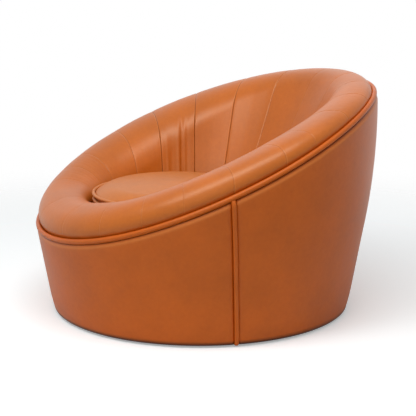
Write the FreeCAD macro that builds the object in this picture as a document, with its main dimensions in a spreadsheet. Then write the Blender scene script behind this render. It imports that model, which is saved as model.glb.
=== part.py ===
import FreeCAD, Part
import math
import os
from types import SimpleNamespace
from FreeCAD import Placement, Rotation, Vector
import Sketcher

# Leather swivel chair: a slanted tub on a ball bearing, with a loose round seat cushion.
# Lengths are in millimetres, +Z is up, the front is -Y, and the swivel axis is Z.

# Every size of the chair, as an alias and a value.
SIZES = (
    # Outer shell, a body of revolution: straight flare, then a barrelled upper part
    ("base_radius", 440.0),
    ("flare_share", 0.177),
    ("flare_height", 267.0),
    ("barrel_rise", 27.4),
    ("floor_gap", 5.0),
    ("lower_edge_radius", 8.0),
    ("cover_thickness", 2.0),
    ("wadding_thickness", 6.0),
    ("shell_board_thickness", 6.0),
    ("layer_gap", 0.1),
    # Rim line, low at the front and high at the back
    ("rim_front_height", 260.0),
    ("rim_side_height", 463.0),
    ("rim_back_height", 656.0),
    ("rim_rake", 246.5),
    ("rim_piping_radius", 8.0),
    ("rim_piping_inset_front", 6.7),
    ("rim_piping_inset_side", 9.2),
    ("rim_piping_inset_back", 9.7),
    ("piping_gap", 0.3),
    # Side piping over the joint of the two outer covers
    ("side_piping_radius", 6.5),
    ("side_piping_proud", 1.5),
    ("side_joint_foot", 51.0),
    ("side_joint_lean_share", 0.084),
    ("side_piping_bottom", 3.0),
    # Floor side of the swivel
    ("glide_radius", 20.0),
    ("glide_thickness", 5.0),
    ("glide_setback", 35.0),
    ("base_board_setback", 120.0),
    ("base_board_thickness", 18.0),
    ("plate_width", 300.0),
    ("plate_thickness", 2.5),
    ("plate_screw_spacing", 260.0),
    ("race_radius", 110.0),
    ("race_width", 24.0),
    ("race_height", 4.0),
    ("ball_radius", 4.0),
    ("ball_clearance", 0.05),
    ("race_separation", 2.0),
    ("cage_thickness", 1.6),
    ("cage_width", 20.0),
    ("cage_hole_clearance", 0.15),
    ("pin_radius", 8.0),
    ("pin_running_clearance", 0.08),
    ("pin_head_radius", 14.0),
    ("pin_head_thickness", 2.4),
    ("pin_length", 23.5),
    ("pin_nut_radius", 13.0),
    ("pin_nut_height", 5.7),
    ("pin_nut_clearance", 0.3),
    ("screw_radius", 2.4),
    ("screw_length", 14.0),
    ("screw_head_radius", 4.5),
    ("screw_head_height", 2.5),
    ("screw_clearance", 0.1),
    # Frame of the tub
    ("frame_board_thickness", 18.0),
    ("nut_hole_radius", 20.0),
    ("dust_cover_thickness", 1.0),
    ("dust_cover_inner_radius", 225.0),
    ("dust_cover_margin", 26.0),
    ("rib_depth", 50.0),
    ("rail_drop", 20.0),
    ("deck_top_height", 216.0),
    ("deck_centre_offset", 84.0),
    ("deck_landing", 46.0),
    ("rib_landing", 36.0),
    ("strap_width", 50.0),
    ("strap_thickness", 1.2),
    ("strap_pitch_share", 0.347),
    ("strap_setback", 7.0),
    ("deck_pad_thickness", 8.0),
    ("deck_pad_setback", 6.0),
    # Padded roll and inner wall: crown of the roll inward of and above the rim line
    ("roll_in_front", 76.6),
    ("roll_in_side", 61.3),
    ("roll_in_back", 39.9),
    ("roll_up_front", 80.7),
    ("roll_up_side", 61.7),
    ("roll_up_back", 29.7),
    ("roll_up_swing", 40.7),
    ("roll_inner_radius_front", 40.0),
    ("roll_inner_radius_side", 160.0),
    ("roll_inner_radius_back", 77.5),
    ("roll_bulge_front", 8.5),
    ("roll_bulge_side", 6.4),
    ("roll_bulge_back", 0.6),
    ("roll_start", 6.0),
    ("seam_aim_shift", 90.0),
    ("front_wall_thickness", 106.0),
    ("wall_foot_gap", 0.3),
    ("gore_thickness", 20.0),
    ("gore_puff", 2.0),
    ("gore_foot_puff", 1.5),
    ("foam_gap", 0.5),
    ("foam_foot_thickness", 45.0),
    ("foam_rail_gap", 8.0),
    # Loose seat cushion
    ("cushion_gap", 0.5),
    ("cushion_setback", 13.5),
    ("cushion_side_height", 120.7),
    ("cushion_crown", 40.0),
    ("cushion_shoulder_width", 54.0),
    ("cushion_shoulder_drop", 14.0),
    ("cushion_waist", 6.0),
    ("cushion_piping_radius", 5.0),
    ("cushion_second_piping_radius", 4.5),
    ("cushion_piping_spacing", 17.0),
    ("cushion_cover_thickness", 2.0),
    ("cushion_skin_gap", 0.3),
    ("tool_margin", 40.0),
)

# Sizes that follow from others: the seat is as wide as the shell leaves room for at the front
FOLLOWING_SIZES = (
    ("base_board_radius", "base_radius - base_board_setback"),
    ("glide_circle_radius", "base_board_radius - glide_setback"),
    ("wall_foot_radius", "base_radius - deck_centre_offset - front_wall_thickness"),
    ("deck_hole_radius", "wall_foot_radius - deck_landing"),
    ("rib_hole_radius", "wall_foot_radius - rib_landing"),
    ("strap_circle_radius", "wall_foot_radius - strap_setback"),
    ("strap_pitch", "deck_hole_radius * strap_pitch_share"),
    ("deck_pad_radius", "wall_foot_radius - deck_pad_setback"),
    ("cushion_seam_radius", "wall_foot_radius - cushion_setback"),
    ("cushion_shoulder_radius", "cushion_seam_radius - cushion_shoulder_width"),
)

# Places of the seams between the gores, as shares of the rim line's length, counted from the
# middle of the front towards +X; the share of one half is the middle of the back.
SEAM_SHARES = (
    -0.012, 0.046, 0.095, 0.137, 0.175, 0.219, 0.268, 0.3, 0.347, 0.392, 0.437,
    0.48, 0.53, 0.585, 0.64, 0.696, 0.754, 0.804, 0.857, 0.888, 0.92,
)
GLIDE_COUNT = 6
BALL_COUNT = 24
RIB_COUNT = 6
STRAPS_EACH_WAY = 5
OUTER_STEPS = 6

document = FreeCAD.newDocument("SwivelChair")
sheet = document.addObject("Spreadsheet::Sheet", "Sizes")
for row, (alias, value) in enumerate(SIZES, start=1):
    sheet.set("A%d" % row, alias)
    sheet.set("B%d" % row, str(value))
    sheet.setAlias("B%d" % row, alias)
for alias, formula in FOLLOWING_SIZES:
    row += 1
    sheet.set("A%d" % row, alias)
    sheet.set("B%d" % row, "=" + formula)
    sheet.setAlias("B%d" % row, alias)
document.recompute()
mm = SimpleNamespace(**{alias: float(sheet.get(alias)) for alias, value in SIZES + FOLLOWING_SIZES})

# Heights and insets that follow from the sizes
wall_build_up = mm.cover_thickness + mm.wadding_thickness + mm.shell_board_thickness + 3 * mm.layer_gap
base_board_top = mm.glide_thickness + mm.base_board_thickness
race_bottom = base_board_top + mm.plate_thickness
upper_race_bottom = race_bottom + mm.race_height + mm.race_separation
ball_centre = race_bottom + mm.race_height + mm.race_separation / 2
upper_plate_bottom = upper_race_bottom + mm.race_height
bottom_board_bottom = upper_plate_bottom + mm.plate_thickness
bottom_board_top = bottom_board_bottom + mm.frame_board_thickness
deck_board_bottom = mm.deck_top_height - mm.frame_board_thickness
rail_bottom_drop = mm.rail_drop + mm.frame_board_thickness
rim_clearance_drop = mm.rim_piping_radius + mm.piping_gap
flare_turn = math.atan(mm.flare_share)
flare_top_radius = mm.base_radius + mm.flare_share * mm.flare_height
barrel_radius = mm.barrel_rise / (1 - math.cos(flare_turn))
widest_height = mm.flare_height + barrel_radius * math.sin(flare_turn)
highest_cut = mm.rim_back_height + mm.roll_up_back + mm.tool_margin
deck_centre = Vector(0, -mm.deck_centre_offset, 0)

nodes = []


def node(piece):
    """Marks a finished piece, which is written under its label."""
    nodes.append(piece)
    return piece


def bind(piece, **sizes):
    """Ties properties of a piece to the sheet; Up is the height at which the piece starts."""
    for name, formula in sizes.items():
        if name == "Up":
            piece.setExpression(".Placement.Base.z", formula)
        else:
            piece.setExpression(name, formula)
    return piece


def add(kind, name, **sizes):
    piece = document.addObject(kind, name)
    piece.Label = name
    return bind(piece, **sizes)


def combine(kind, name, base, tool):
    """A boolean of two pieces: Part::Cut, Part::Fuse or Part::Common."""
    piece = add(kind, name)
    piece.Base = base
    piece.Tool = tool
    return piece


def group(name, members):
    """Separate solids of one kind that share a node."""
    piece = add("Part::Compound", name)
    piece.Links = members
    return piece


def shaped(name, shape):
    """A piece whose shape is worked out here, from the sheet's sizes."""
    piece = add("Part::Feature", name)
    piece.Shape = shape
    return piece


def drum(name, radius, height, up, beside=None):
    """An upright cylinder; beside is a place in the plan."""
    piece = add("Part::Cylinder", name, Radius=radius, Height=height, Up=up)
    if beside is not None:
        piece.Placement.Base = Vector(beside.x, beside.y, piece.Placement.Base.z)
    return piece


def around(count, radius, start=0.0):
    """Places evenly spaced on a circle about the swivel axis."""
    turns = [start + 2 * math.pi * step / count for step in range(count)]
    return [Vector(radius * math.cos(turn), radius * math.sin(turn), 0) for turn in turns]


# Curves


def shell_radius(height):
    """Outer radius of the shell at a height."""
    if height <= mm.flare_height:
        return mm.base_radius + mm.flare_share * height
    rise = height - widest_height
    centre = flare_top_radius + mm.barrel_rise - barrel_radius
    return centre + math.sqrt(barrel_radius ** 2 - rise ** 2)


def between(front, side, back, lean):
    """A size that is given at the front, the sides and the back."""
    return side + (back - front) / 2 * lean + ((back + front) / 2 - side) * lean ** 2


def rim_inset(lean):
    """How far the centre of the rim piping lies inside the outer surface."""
    return between(mm.rim_piping_inset_front, mm.rim_piping_inset_side, mm.rim_piping_inset_back, lean)


def rim_place(angle):
    """Centre of the rim piping at an angle about the swivel axis, measured from +X."""
    lean = math.sin(angle)
    mean_end = (mm.rim_front_height + mm.rim_back_height) / 2
    half_rise = (mm.rim_back_height - mm.rim_front_height) / 2
    height = mm.rim_side_height + mm.rim_rake * lean
    height += (mean_end - mm.rim_side_height) * lean ** 2 + (half_rise - mm.rim_rake) * lean ** 3
    radius = shell_radius(height) - rim_inset(lean)
    return Vector(radius * math.cos(angle), radius * lean, height)


def rim_profile(share):
    """Place on the rim line seen from the side; share runs past -1 and 1, the front and the back."""
    mean_end = (mm.rim_front_height + mm.rim_back_height) / 2
    half_rise = (mm.rim_back_height - mm.rim_front_height) / 2
    height = mm.rim_side_height + mm.rim_rake * share
    height += (mean_end - mm.rim_side_height) * share ** 2 + (half_rise - mm.rim_rake) * share ** 3
    return Vector(0, (shell_radius(height) - rim_inset(share)) * share, height)


def arc_middle(start, direction, end):
    """Middle of the arc that leaves start along direction and reaches end."""
    chord = end - start
    half_turn_cosine = chord.dot(direction) / (chord.Length * direction.Length)
    corner = start + direction * (chord.Length / (2 * half_turn_cosine * direction.Length))
    return (start + corner * (2 * half_turn_cosine) + end) * (1 / (2 + 2 * half_turn_cosine))


def tangent_arc(start, direction, end):
    return Part.Arc(start, arc_middle(start, direction, end), end).toShape()


def smooth_path(places, directions):
    """Pairs of tangent arcs from place to place."""
    edges = []
    for start, end, leave, arrive in zip(places, places[1:], directions, directions[1:]):
        leave = Vector(leave).normalize()
        arrive = Vector(arrive).normalize()
        span = end - start
        both = leave + arrive
        bend = 2 * (1 - leave.dot(arrive))
        reach = span.dot(both)
        arm = (math.sqrt(reach ** 2 + bend * span.dot(span)) - reach) / bend
        joint = (start + end + (leave - arrive) * arm) * 0.5
        edges.append(tangent_arc(start, leave, joint))
        edges.append(Part.Arc(joint, arc_middle(end, arrive * -1, joint), end).toShape())
    return Part.Wire(edges)


def piping(path, start, direction, radius):
    """A round cord along a path of arcs."""
    ring = Part.Wire(Part.Circle(start, direction, radius).toShape())
    return path.makePipeShell([ring], True, False)


def turned(outline, axis_place=Vector(0, 0, 0)):
    """A closed outline in the XZ plane, turned about an upright axis."""
    face = Part.Face(Part.Wire(outline))
    face.translate(axis_place)
    return face.revolve(axis_place, Vector(0, 0, 1), 360)


def shell_side(inset, low, high):
    """The shell's outline at an inset, from a low to a high height, as a line and an arc."""
    foot = Vector(shell_radius(low) - inset, 0, low)
    bend = Vector(flare_top_radius - inset, 0, mm.flare_height)
    middle_height = (mm.flare_height + high) / 2
    middle = Vector(shell_radius(middle_height) - inset, 0, middle_height)
    top = Vector(shell_radius(high) - inset, 0, high)
    return [Part.LineSegment(foot, bend).toShape(), Part.Arc(bend, middle, top).toShape()]


def shell_layer(outset, inset, low):
    """A full-height layer of the wall, between two insets from the outer surface."""
    outer = shell_side(outset, low, highest_cut)
    inner = shell_side(inset, low, highest_cut)
    across_top = Part.LineSegment(outer[-1].lastVertex().Point, inner[-1].lastVertex().Point)
    across_foot = Part.LineSegment(outer[0].firstVertex().Point, inner[0].firstVertex().Point)
    outline = outer + [across_top.toShape()] + inner + [across_foot.toShape()]
    return turned(Part.__sortEdges__(outline))


def dropped_profile(share, drop):
    """A place under the rim line, at right angles to it, seen from the side."""
    step_share = 0.01
    along = rim_profile(share + step_share) - rim_profile(share - step_share)
    along.normalize()
    return rim_profile(share) + Vector(0, along.z, -along.y) * drop


def below_rim(name, drop):
    """Everything under a curve that runs below the rim line, as a block with an S-shaped top."""
    reach_shares = [step / 8 for step in range(-10, 11, 2)]
    line = [dropped_profile(share, drop) for share in reach_shares]
    curve = Part.BSplineCurve()
    curve.interpolate(line)
    wide = flare_top_radius + mm.barrel_rise + mm.tool_margin
    low = -mm.tool_margin
    corners = [line[-1], Vector(0, line[-1].y, low), Vector(0, line[0].y, low), line[0]]
    sides = [Part.LineSegment(one, two).toShape() for one, two in zip(corners, corners[1:])]
    face = Part.Face(Part.Wire([curve.toShape()] + sides))
    face.translate(Vector(-wide, 0, 0))
    return shaped(name, face.extrude(Vector(2 * wide, 0, 0)))


# Floor side: glides, base board, lower plate of the bearing, pin with its nut, screws

glides = [drum("glide_middle", "Sizes.glide_radius", "Sizes.glide_thickness", "0")]
for number, place in enumerate(around(GLIDE_COUNT, mm.glide_circle_radius, math.pi / GLIDE_COUNT)):
    glides.append(drum("glide_%d" % (number + 1), "Sizes.glide_radius", "Sizes.glide_thickness", "0", place))
node(group("floor_glides", glides))


def body_circle(body, name, radius, up):
    """A circle about the body's own axis, on its ground plane, raised to a height."""
    plane = [item for item in body.Origin.OriginFeatures if item.Role == "XY_Plane"][0]
    sketch = body.newObject("Sketcher::SketchObject", name)
    sketch.AttachmentSupport = [(plane, "")]
    sketch.MapMode = "FlatFace"
    sketch.setExpression(".AttachmentOffset.Base.z", up)
    sketch.addGeometry(Part.Circle(Vector(0, 0, 0), Vector(0, 0, 1), mm.pin_radius), False)
    sketch.addConstraint(Sketcher.Constraint("Coincident", 0, 3, -1, 1))
    sketch.addConstraint(Sketcher.Constraint("Radius", 0, mm.pin_radius))
    sketch.setExpression("Constraints[1]", radius)
    return sketch


def round_board(name, radius, thickness, up, hole_radius):
    """A round board with a hole in its middle."""
    body = document.addObject("PartDesign::Body", name)
    body.Label = name
    disc = body.newObject("PartDesign::Pad", name + "_disc")
    disc.Profile = body_circle(body, name + "_edge", radius, up)
    disc.setExpression("Length", thickness)
    document.recompute()
    solid_volume = disc.Shape.Volume
    hole = body.newObject("PartDesign::Pocket", name + "_middle_hole")
    hole.Profile = body_circle(body, name + "_hole_edge", hole_radius, up)
    hole.Reversed = True
    hole.setExpression("Length", thickness)
    document.recompute()
    if hole.Shape.Volume >= solid_volume:
        raise RuntimeError(name + ": the hole cuts nothing")
    return body


def screws(name, places, board_face, points_up):
    """Pan-head screws through a bearing plate; board_face is the board's face under the plate."""
    made = []
    for number, place in enumerate(places):
        label = "%s_%d" % (name, number + 1)
        if points_up:
            shank_low = "%s - Sizes.plate_thickness" % board_face
            head_low = "%s - Sizes.plate_thickness - Sizes.screw_head_height" % board_face
        else:
            shank_low = "%s + Sizes.plate_thickness - Sizes.screw_length" % board_face
            head_low = "%s + Sizes.plate_thickness" % board_face
        shank = drum(label + "_shank", "Sizes.screw_radius", "Sizes.screw_length", shank_low, place)
        head = drum(label + "_head", "Sizes.screw_head_radius", "Sizes.screw_head_height", head_low, place)
        made.append(combine("Part::Fuse", label, head, shank))
    return group(name, made)


def with_screw_holes(name, board, places, low, height):
    """A board or plate with a clearance hole for each screw."""
    holes = []
    for number, place in enumerate(places):
        label = "%s_screw_hole_%d" % (name, number + 1)
        holes.append(drum(label, "Sizes.screw_radius + Sizes.screw_clearance", height, low, place))
    return combine("Part::Cut", name, board, group(name + "_screw_holes", holes))


half_spacing = mm.plate_screw_spacing / 2
both_ways = (-half_spacing, half_spacing)
corner_places = [Vector(x, y, 0) for x in both_ways for y in both_ways]
base_top_text = "(Sizes.glide_thickness + Sizes.base_board_thickness)"
race_low_text = "(%s + Sizes.plate_thickness)" % base_top_text
race_high_text = "(%s + Sizes.race_height)" % race_low_text
upper_race_text = "(%s + Sizes.race_separation)" % race_high_text
upper_plate_text = "(%s + Sizes.race_height)" % upper_race_text
bottom_board_text = "(%s + Sizes.plate_thickness)" % upper_plate_text
screw_depth_text = "(Sizes.screw_length - Sizes.plate_thickness + Sizes.screw_clearance)"

board_disc = round_board("base_board_blank", "Sizes.base_board_radius", "Sizes.base_board_thickness",
                         "Sizes.glide_thickness", "Sizes.pin_head_radius + Sizes.screw_clearance")
node(with_screw_holes("base_board", board_disc, corner_places,
                      "%s - %s" % (base_top_text, screw_depth_text), screw_depth_text))


def bearing_plate(name, plate_low, race_low, hole_radius):
    """A square pressed plate with a raised ring, grooved for the balls."""
    plate = add("Part::Box", name + "_square", Length="Sizes.plate_width", Width="Sizes.plate_width",
                Height="Sizes.plate_thickness", Up=plate_low)
    bind(plate, **{".Placement.Base.x": "-Sizes.plate_width / 2",
                   ".Placement.Base.y": "-Sizes.plate_width / 2"})
    ring_outer = drum(name + "_ring_outer", "Sizes.race_radius + Sizes.race_width / 2",
                      "Sizes.race_height", race_low)
    ring_inner = drum(name + "_ring_inner", "Sizes.race_radius - Sizes.race_width / 2",
                      "Sizes.race_height", race_low)
    ring = combine("Part::Cut", name + "_ring", ring_outer, ring_inner)
    joined = combine("Part::Fuse", name + "_joined", plate, ring)
    groove = add("Part::Torus", name + "_groove", Radius1="Sizes.race_radius",
                 Radius2="Sizes.ball_radius + Sizes.ball_clearance",
                 Up="%s + Sizes.race_separation / 2" % race_high_text)
    grooved = combine("Part::Cut", name + "_grooved", joined, groove)
    hole = drum(name + "_pin_hole", hole_radius, "Sizes.plate_thickness", plate_low)
    drilled = combine("Part::Cut", name + "_drilled", grooved, hole)
    return with_screw_holes(name, drilled, corner_places, plate_low, "Sizes.plate_thickness")


node(bearing_plate("lower_bearing_plate", base_top_text, race_low_text,
                   "Sizes.pin_radius + Sizes.screw_clearance"))
pin_shaft = drum("pin_shaft", "Sizes.pin_radius", "Sizes.pin_length",
                 "%s - Sizes.screw_clearance" % base_top_text)
pin_head = drum("pin_head", "Sizes.pin_head_radius", "Sizes.pin_head_thickness",
                "%s - Sizes.screw_clearance - Sizes.pin_head_thickness" % base_top_text)
node(combine("Part::Fuse", "swivel_pin", pin_shaft, pin_head))
nut_low_text = "%s + Sizes.pin_nut_clearance" % bottom_board_text
nut_outside = drum("nut_outside", "Sizes.pin_nut_radius", "Sizes.pin_nut_height", nut_low_text)
nut_bore = drum("nut_bore", "Sizes.pin_radius + Sizes.screw_clearance", "Sizes.pin_nut_height", nut_low_text)
node(combine("Part::Cut", "swivel_pin_nut", nut_outside, nut_bore))
node(screws("lower_plate_screws", corner_places, base_top_text, False))

# Ball ring: balls in a flat cage between the two races

balls = []
cage_holes = []
cage_low_text = "%s + (Sizes.race_separation - Sizes.cage_thickness) / 2" % race_high_text
for number, place in enumerate(around(BALL_COUNT, mm.race_radius)):
    ball = add("Part::Sphere", "ball_%d" % (number + 1), Radius="Sizes.ball_radius",
               Up="%s + Sizes.race_separation / 2" % race_high_text)
    ball.Placement.Base = Vector(place.x, place.y, ball_centre)
    balls.append(ball)
    cage_holes.append(drum("cage_hole_%d" % (number + 1), "Sizes.ball_radius + Sizes.cage_hole_clearance",
                           "Sizes.cage_thickness", cage_low_text, place))
node(group("bearing_balls", balls))
cage_outer = drum("cage_outer", "Sizes.race_radius + Sizes.cage_width / 2",
                  "Sizes.cage_thickness", cage_low_text)
cage_inner = drum("cage_inner", "Sizes.race_radius - Sizes.cage_width / 2",
                  "Sizes.cage_thickness", cage_low_text)
cage_ring = combine("Part::Cut", "cage_ring", cage_outer, cage_inner)
node(combine("Part::Cut", "ball_cage", cage_ring, group("cage_holes", cage_holes)))

# Tub frame: upper plate, bottom board, dust cover, ribs, rim rail, seat deck

node(bearing_plate("upper_bearing_plate", upper_plate_text, upper_race_text,
                   "Sizes.pin_radius + Sizes.pin_running_clearance"))
node(screws("upper_plate_screws", corner_places, bottom_board_text, True))


def board_radius(low):
    """Radius of a round board that fits inside the shell board at its lower face."""
    return shell_radius(low) - wall_build_up


bottom_radius_text = "(Sizes.base_radius + Sizes.flare_share * %s - %s)" % (
    bottom_board_text,
    "(Sizes.cover_thickness + Sizes.wadding_thickness + Sizes.shell_board_thickness + 3 * Sizes.layer_gap)",
)
bottom_disc = round_board("bottom_board_blank", bottom_radius_text, "Sizes.frame_board_thickness",
                          bottom_board_text, "Sizes.nut_hole_radius")
node(with_screw_holes("bottom_board", bottom_disc, corner_places, bottom_board_text, screw_depth_text))
dust_low_text = "%s - Sizes.dust_cover_thickness" % bottom_board_text
dust_outer = drum("dust_cover_outer", "%s - Sizes.dust_cover_margin" % bottom_radius_text,
                  "Sizes.dust_cover_thickness", dust_low_text)
dust_inner = drum("dust_cover_inner", "Sizes.dust_cover_inner_radius",
                  "Sizes.dust_cover_thickness", dust_low_text)
node(combine("Part::Cut", "dust_cover", dust_outer, dust_inner))

under_rail = below_rim("under_rail", rail_bottom_drop + mm.layer_gap)
under_rail_top = below_rim("under_rail_top", mm.rail_drop)
under_rail_low = below_rim("under_rail_low", rail_bottom_drop)
under_piping = below_rim("under_piping", rim_clearance_drop)

rail_ring = shaped("rail_ring", shell_layer(wall_build_up, wall_build_up + mm.rib_depth, bottom_board_top))
rail_above = combine("Part::Common", "rail_above", rail_ring, under_rail_top)
node(combine("Part::Cut", "rim_rail", rail_above, under_rail_low))

# A rib stands on the bottom board, carries the deck board on its foot and the rail on its top
rib_outer = shell_side(wall_build_up, bottom_board_top, highest_cut)
rib_inner = shell_side(wall_build_up + mm.rib_depth, deck_board_bottom, highest_cut)
rib_top = Part.LineSegment(rib_outer[-1].lastVertex().Point, rib_inner[-1].lastVertex().Point)
step_corner = rib_inner[0].firstVertex().Point
rib_corners = [step_corner, Vector(0, 0, deck_board_bottom), Vector(0, 0, bottom_board_top),
               rib_outer[0].firstVertex().Point]
rib_lines = [Part.LineSegment(one, two).toShape() for one, two in zip(rib_corners, rib_corners[1:])]
rib_outline = rib_outer + rib_inner + [rib_top.toShape()] + rib_lines
rib_solid = shaped("rib_solid", turned(Part.__sortEdges__(rib_outline)))
rib_hole = drum("rib_hole", "Sizes.rib_hole_radius", "Sizes.deck_top_height - %s" % bottom_board_text,
                bottom_board_text, deck_centre)
rib_open = combine("Part::Cut", "rib_open", rib_solid, rib_hole)
rib_blank = combine("Part::Common", "rib_blank", rib_open, under_rail)
plank_length = "Sizes.base_radius + Sizes.barrel_rise + Sizes.base_radius * Sizes.flare_share"
for number in range(RIB_COUNT):
    plank = add("Part::Box", "rib_plank_%d" % (number + 1), Length=plank_length,
                Width="Sizes.frame_board_thickness", Height="Sizes.rim_back_height")
    turn = Rotation(Vector(0, 0, 1), math.degrees(math.pi / 2 + 2 * math.pi * number / RIB_COUNT))
    plank.Placement = Placement(turn.multVec(Vector(0, -mm.frame_board_thickness / 2, 0)), turn)
    node(combine("Part::Common", "rib_%d" % (number + 1), rib_blank, plank))

deck_disc_radius = board_radius(deck_board_bottom) - mm.rib_depth - mm.layer_gap
deck_board_disc = add("Part::Cylinder", "deck_board_disc", Height="Sizes.frame_board_thickness",
                      Up="Sizes.deck_top_height - Sizes.frame_board_thickness")
deck_board_disc.Radius = deck_disc_radius
deck_hole = drum("deck_hole", "Sizes.deck_hole_radius", "Sizes.frame_board_thickness",
                 "Sizes.deck_top_height - Sizes.frame_board_thickness", deck_centre)
node(combine("Part::Cut", "seat_deck_board", deck_board_disc, deck_hole))

straps = []
upper_strap_text = "Sizes.deck_top_height + Sizes.strap_thickness + Sizes.layer_gap"
for number in range(STRAPS_EACH_WAY):
    offset = (number - (STRAPS_EACH_WAY - 1) / 2) * mm.strap_pitch
    across = add("Part::Box", "strap_across_%d" % (number + 1), Length="2 * Sizes.strap_circle_radius",
                 Width="Sizes.strap_width", Height="Sizes.strap_thickness")
    across.Placement.Base = deck_centre + Vector(-mm.strap_circle_radius, offset - mm.strap_width / 2, 0)
    bind(across, Up="Sizes.deck_top_height")
    along = add("Part::Box", "strap_along_%d" % (number + 1), Length="Sizes.strap_width",
                Width="2 * Sizes.strap_circle_radius", Height="Sizes.strap_thickness")
    along.Placement.Base = deck_centre + Vector(offset - mm.strap_width / 2, -mm.strap_circle_radius, 0)
    bind(along, Up=upper_strap_text)
    straps += [across, along]
strap_circle = drum("strap_circle", "Sizes.strap_circle_radius",
                    "2 * Sizes.strap_thickness + Sizes.layer_gap", "Sizes.deck_top_height", deck_centre)
node(combine("Part::Common", "webbing_straps", group("whole_straps", straps), strap_circle))
pad_low_text = "Sizes.deck_top_height + 2 * Sizes.strap_thickness + 2 * Sizes.layer_gap"
node(drum("deck_pad", "Sizes.deck_pad_radius", "Sizes.deck_pad_thickness", pad_low_text, deck_centre))

# Outer wall: bent board, wadding, and the leather cover in a front and a rear panel

wall_foot = mm.floor_gap + mm.lower_edge_radius
board_outset = mm.cover_thickness + mm.wadding_thickness + 2 * mm.layer_gap
board_ring = shaped("board_ring", shell_layer(board_outset, wall_build_up - mm.layer_gap, wall_foot))
node(combine("Part::Common", "outer_shell_board", board_ring, under_piping))


def side_joint_place(height, side):
    """Centre of the side piping at a height; side is 1 for +X and -1 for -X."""
    depth = -(mm.side_joint_foot + mm.side_joint_lean_share * height)
    radius = shell_radius(height) + mm.side_piping_proud
    return Vector(side * math.sqrt(radius ** 2 - depth ** 2), depth, height)


def rim_height_at(depth):
    """Height of the rim line at a distance in front of or behind the swivel axis."""
    low, high = -math.pi / 2, math.pi / 2
    for _ in range(40):
        middle = (low + high) / 2
        if rim_place(middle).y < depth:
            low = middle
        else:
            high = middle
    return rim_place(low).z


joint_depth = side_joint_place(mm.rim_side_height, 1).y
side_piping_top = rim_height_at(joint_depth) - mm.rim_piping_radius - mm.side_piping_radius
side_tools = []
for side, word in ((1, "right"), (-1, "left")):
    steps = 4
    heights = [mm.side_piping_bottom + (side_piping_top - mm.side_piping_bottom) * step / steps
               for step in range(steps + 1)]
    places = [side_joint_place(height, side) for height in heights]
    nudge = mm.side_piping_radius
    directions = [side_joint_place(height + nudge, side) - side_joint_place(height - nudge, side)
                  for height in heights]
    cord = piping(smooth_path(places, directions), places[0], directions[0], mm.side_piping_radius)
    room = piping(smooth_path(places, directions), places[0], directions[0],
                  mm.side_piping_radius + mm.piping_gap)
    node(shaped("side_piping_" + word, cord))
    side_tools.append(shaped("side_piping_room_" + word, room))
side_rooms = group("side_piping_rooms", side_tools)

wadding_ring = shaped("wadding_ring", shell_layer(mm.cover_thickness + mm.layer_gap,
                                                  mm.cover_thickness + mm.wadding_thickness + mm.layer_gap,
                                                  wall_foot))
wadding_trimmed = combine("Part::Common", "wadding_trimmed", wadding_ring, under_piping)
node(combine("Part::Cut", "outer_wadding", wadding_trimmed, side_rooms))

# The cover turns in under the shell's rounded lower edge
edge = mm.lower_edge_radius
skin = mm.cover_thickness
edge_share = 1 - math.sqrt(0.5)
outer_line = shell_side(0.0, wall_foot, highest_cut)
inner_line = shell_side(skin, wall_foot, highest_cut)
outer_foot = outer_line[0].firstVertex().Point
inner_foot = inner_line[0].firstVertex().Point
under_outer = Vector(outer_foot.x - edge, 0, mm.floor_gap)
under_inner = Vector(outer_foot.x - edge, 0, mm.floor_gap + skin)
outer_middle = Vector(outer_foot.x - edge * edge_share, 0, mm.floor_gap + edge * edge_share)
inner_edge = edge - skin
inner_middle = Vector(inner_foot.x - inner_edge * edge_share, 0,
                      mm.floor_gap + skin + inner_edge * edge_share)
cover_outline = outer_line + inner_line + [
    Part.Arc(under_outer, outer_middle, outer_foot).toShape(),
    Part.Arc(under_inner, inner_middle, inner_foot).toShape(),
    Part.LineSegment(under_outer, under_inner).toShape(),
    Part.LineSegment(outer_line[-1].lastVertex().Point, inner_line[-1].lastVertex().Point).toShape(),
]
cover_ring = shaped("cover_ring", turned(Part.__sortEdges__(cover_outline)))
cover_trimmed = combine("Part::Common", "cover_trimmed", cover_ring, under_piping)
half_width = flare_top_radius + mm.barrel_rise + mm.tool_margin
joint_low = -(mm.side_joint_foot - mm.side_joint_lean_share * mm.tool_margin)
joint_high = -(mm.side_joint_foot + mm.side_joint_lean_share * highest_cut)
piping_room = mm.side_piping_radius + mm.piping_gap
for word, way in (("front", -1), ("rear", 1)):
    far = way * half_width
    corners = [Vector(-half_width, joint_low + way * piping_room, -mm.tool_margin),
               Vector(-half_width, joint_high + way * piping_room, highest_cut),
               Vector(-half_width, far, highest_cut), Vector(-half_width, far, -mm.tool_margin)]
    block = Part.Face(Part.makePolygon(corners + corners[:1])).extrude(Vector(2 * half_width, 0, 0))
    half_space = shaped("cover_half_" + word, block)
    node(combine("Part::Common", "outer_cover_" + word, cover_trimmed, half_space))

# Rim piping in two lengths, which meet at the middle of the front and of the back
piping_steps = 12
for side, word in ((1, "right"), (-1, "left")):
    turns = [-math.pi / 2 + math.pi * step / piping_steps for step in range(piping_steps + 1)]
    nudge = math.pi / piping_steps / 10
    places = [rim_place(turn) for turn in turns]
    directions = [rim_place(turn + nudge) - rim_place(turn - nudge) for turn in turns]
    for vector in places + directions:
        vector.x *= side
    cord = piping(smooth_path(places, directions), places[0], directions[0], mm.rim_piping_radius)
    node(shaped("rim_piping_" + word, cord))

# Padded roll and inner wall. A section stands upright on a place of the rim line. The front ones
# point at the middle of the seat deck, and those behind at places further back. A section leaves
# the piping, swells as it rises to the crown of the roll, comes down in an arc, and runs straight
# to its foot on the deck board.

ring_steps = 720
ring_turns = [-math.pi / 2 + 2 * math.pi * step / ring_steps for step in range(ring_steps + 1)]
ring_places = [rim_place(turn) for turn in ring_turns]
ring_lengths = [0.0]
for one, two in zip(ring_places, ring_places[1:]):
    ring_lengths.append(ring_lengths[-1] + (two - one).Length)


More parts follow.
